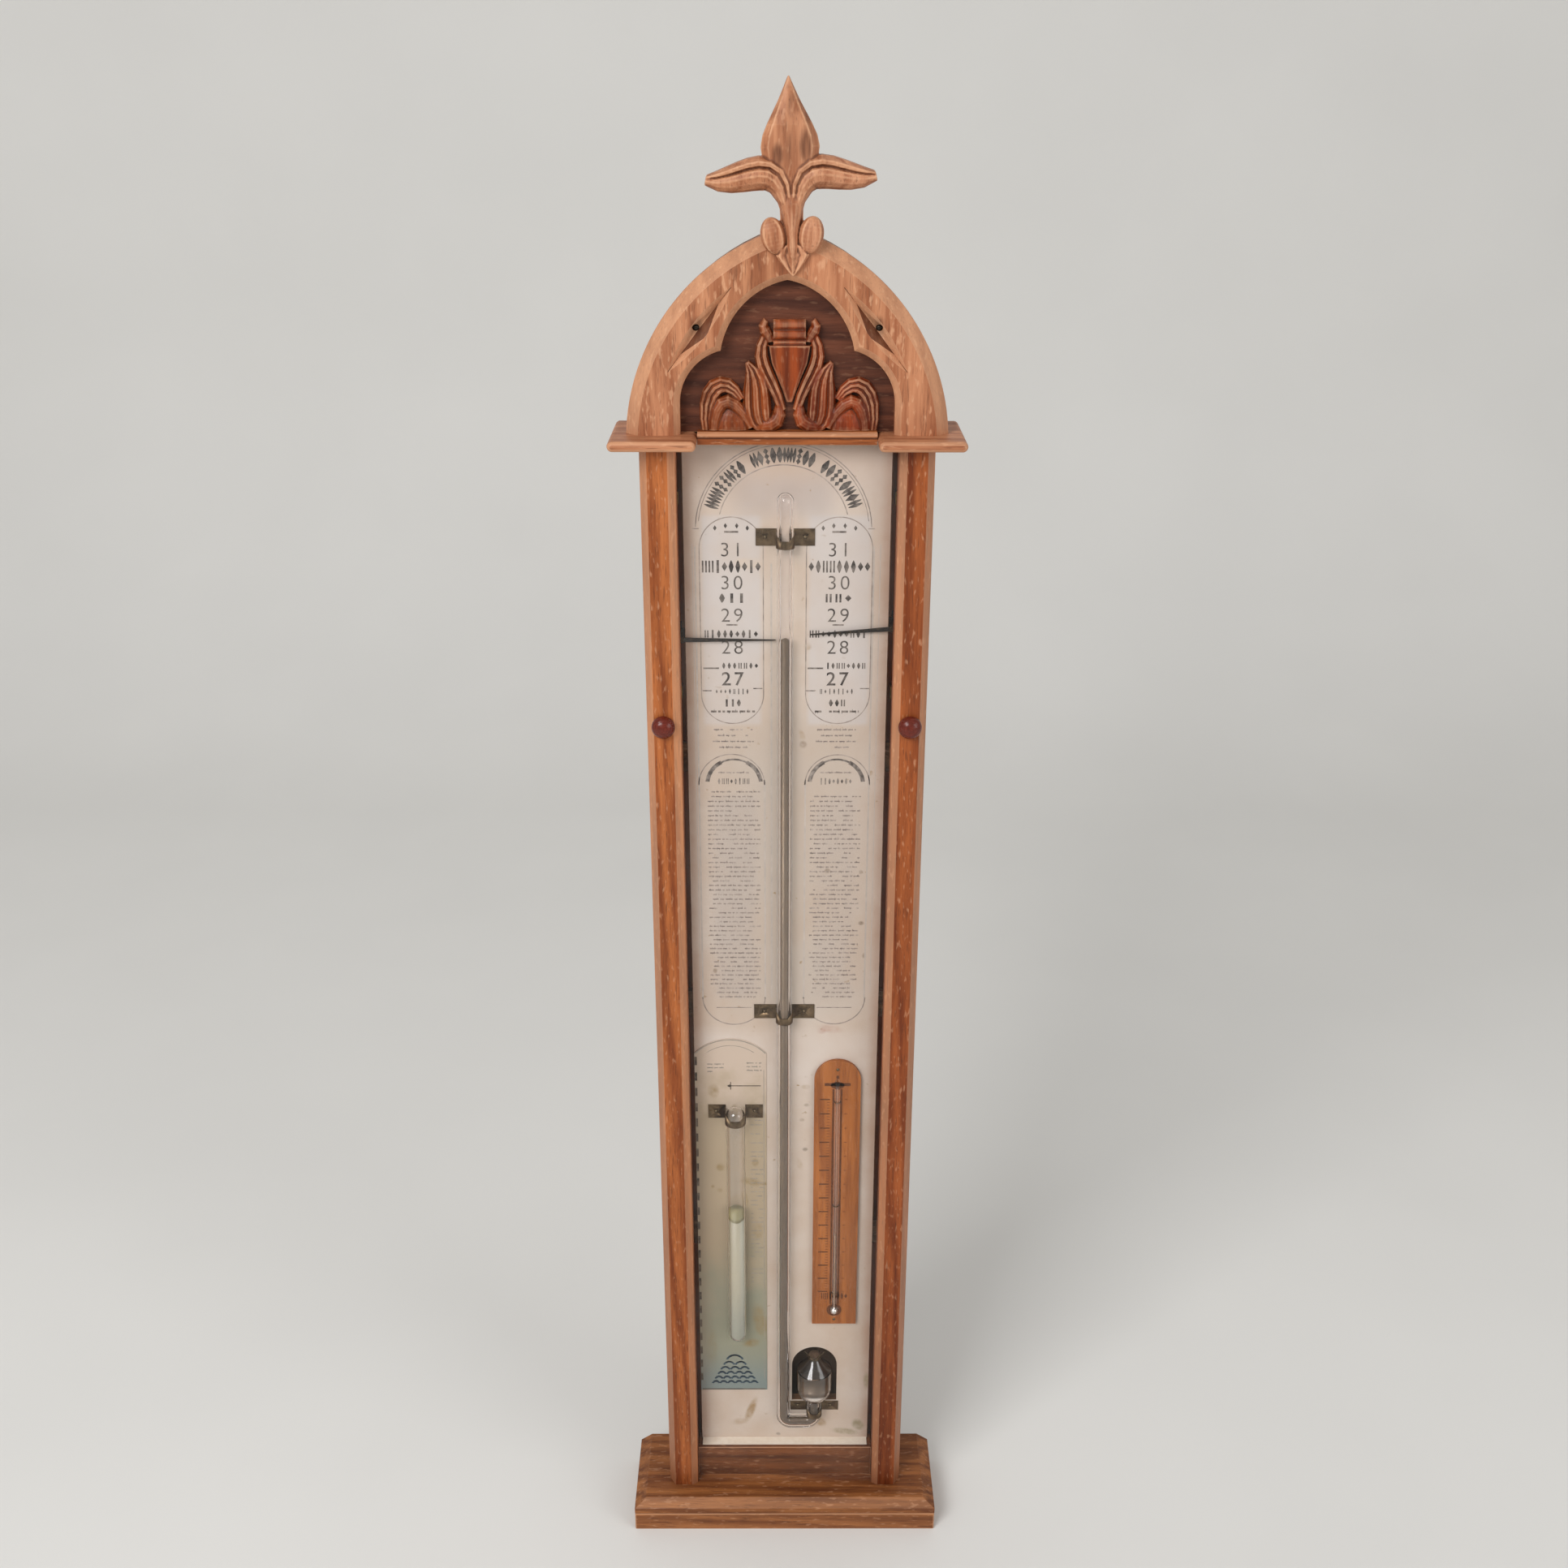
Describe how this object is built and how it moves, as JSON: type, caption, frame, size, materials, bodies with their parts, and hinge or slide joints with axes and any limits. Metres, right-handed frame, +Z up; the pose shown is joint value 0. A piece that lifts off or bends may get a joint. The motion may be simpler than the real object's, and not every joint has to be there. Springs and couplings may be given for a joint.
{
  "type": "wall barometer",
  "caption": "Tall glazed wall barometer in an oak case with a pointed, carved arch, holding a J-shaped mercury tube, a storm glass, a thermometer and knob-driven pointers.",
  "frame": {"origin": "centre of the bounding box's bottom, on the plinth's underside", "axes": "+X to the right seen from the front, +Y into the wall behind the case, +Z up to the finial"},
  "size_m": [0.275, 0.0864, 1.242],
  "materials": {
    "case_oak": "oiled, orange-brown",
    "pale_oak": "oiled, paler",
    "plinth_oak": "dark waxed",
    "back_oak": "plain sawn",
    "tympanum_oak": "dark waxed",
    "carved_oak": "waxed carving",
    "knob_wood": "polished",
    "boxwood": "varnished",
    "cork": "plain",
    "window_glass": "clear",
    "tube_glass": "clear",
    "mercury": "liquid metal",
    "storm_liquid": "cloudy liquid",
    "old_brass": "aged",
    "bright_brass": "satin",
    "steel": "dull",
    "dark_steel": "blackened",
    "printed_paper": "aged print",
    "paper_edge": "aged",
    "blue_card": "pale blue",
    "cord": "waxed line",
    "pointer_black": "black"
  },
  "bodies": {
    "case": {"plinth_base": "plinth_oak", "plinth_top": "plinth_oak", "plinth_screws": "steel", "back_board": "back_oak", "back_screws": "steel", "left_side": "case_oak", "right_side": "case_oak", "left_post": "case_oak", "right_post": "case_oak", "bottom_rail": "plinth_oak", "ledge_strip": "paper_edge", "top_rail": "case_oak", "left_impost": "pale_oak", "right_impost": "pale_oak", "head_block": "case_oak", "tympanum_panel": "tympanum_oak", "tympanum_carving": "carved_oak", "sill_strip": "tympanum_oak", "arch_front": "case_oak", "arch_screws": "dark_steel", "finial": "pale_oak", "board_battens": "back_oak", "glue_blocks": "back_oak", "register_board": "back_oak", "register_paper": "printed_paper", "front_glass": "window_glass", "barometer_tube": "tube_glass", "mercury": "mercury", "cistern_bung": "cork", "cistern_wire": "old_brass", "upper_tube_clip": "old_brass", "lower_tube_clip": "old_brass", "cistern_clip": "old_brass", "storm_clip": "old_brass", "clip_pins": "old_brass", "storm_card": "blue_card", "storm_tube": "tube_glass", "storm_liquid": "storm_liquid", "thermometer_plate": "boxwood", "thermometer_tube": "tube_glass", "thermometer_thread": "mercury", "thermometer_staples": "old_brass", "thermometer_pins": "old_brass", "left_idler_pin": "steel", "right_idler_pin": "steel", "left_cord": "cord", "right_cord": "cord", "left_guide": "steel", "right_guide": "steel"},
    "left_drive": {"left_knob": "knob_wood", "left_spindle": "bright_brass"},
    "right_drive": {"right_knob": "knob_wood", "right_spindle": "bright_brass"},
    "left_return": {"left_idler": "bright_brass"},
    "right_return": {"right_idler": "bright_brass"},
    "left_carriage": {"left_slider": "bright_brass", "left_pointer": "pointer_black"},
    "right_carriage": {"right_slider": "bright_brass", "right_pointer": "pointer_black"}
  },
  "joints": [
    {"name": "left_knob_turn", "type": "hinge", "parent": "case", "child": "left_drive", "pos_m": [-0.09335, -0.02175, 0.785], "axis": [0, -1, 0], "range_deg": [-374, 739]},
    {"name": "left_pointer_slide", "type": "slide", "parent": "case", "child": "left_carriage", "axis": [0, 0, 1], "range_m": [-0.036, 0.071]},
    {"name": "left_idler_spin", "type": "hinge", "parent": "case", "child": "left_return", "pos_m": [-0.09335, 0.02025, 0.962], "axis": [0, -1, 0], "range_deg": [-375, 740]},
    {"name": "right_knob_turn", "type": "hinge", "parent": "case", "child": "right_drive", "pos_m": [0.09335, -0.02175, 0.785], "axis": [0, 1, 0], "range_deg": [-468, 645]},
    {"name": "right_pointer_slide", "type": "slide", "parent": "case", "child": "right_carriage", "axis": [0, 0, 1], "range_m": [-0.045, 0.062]},
    {"name": "right_idler_spin", "type": "hinge", "parent": "case", "child": "right_return", "pos_m": [0.09335, 0.02025, 0.962], "axis": [0, 1, 0], "range_deg": [-469, 646]}
  ],
  "couplings": [
    {"joint": "left_pointer_slide", "follows": "left_knob_turn", "m_per_rad": 0.0055},
    {"joint": "left_idler_spin", "follows": "left_knob_turn", "ratio": 1},
    {"joint": "right_pointer_slide", "follows": "right_knob_turn", "m_per_rad": 0.0055},
    {"joint": "right_idler_spin", "follows": "right_knob_turn", "ratio": 1}
  ]
}
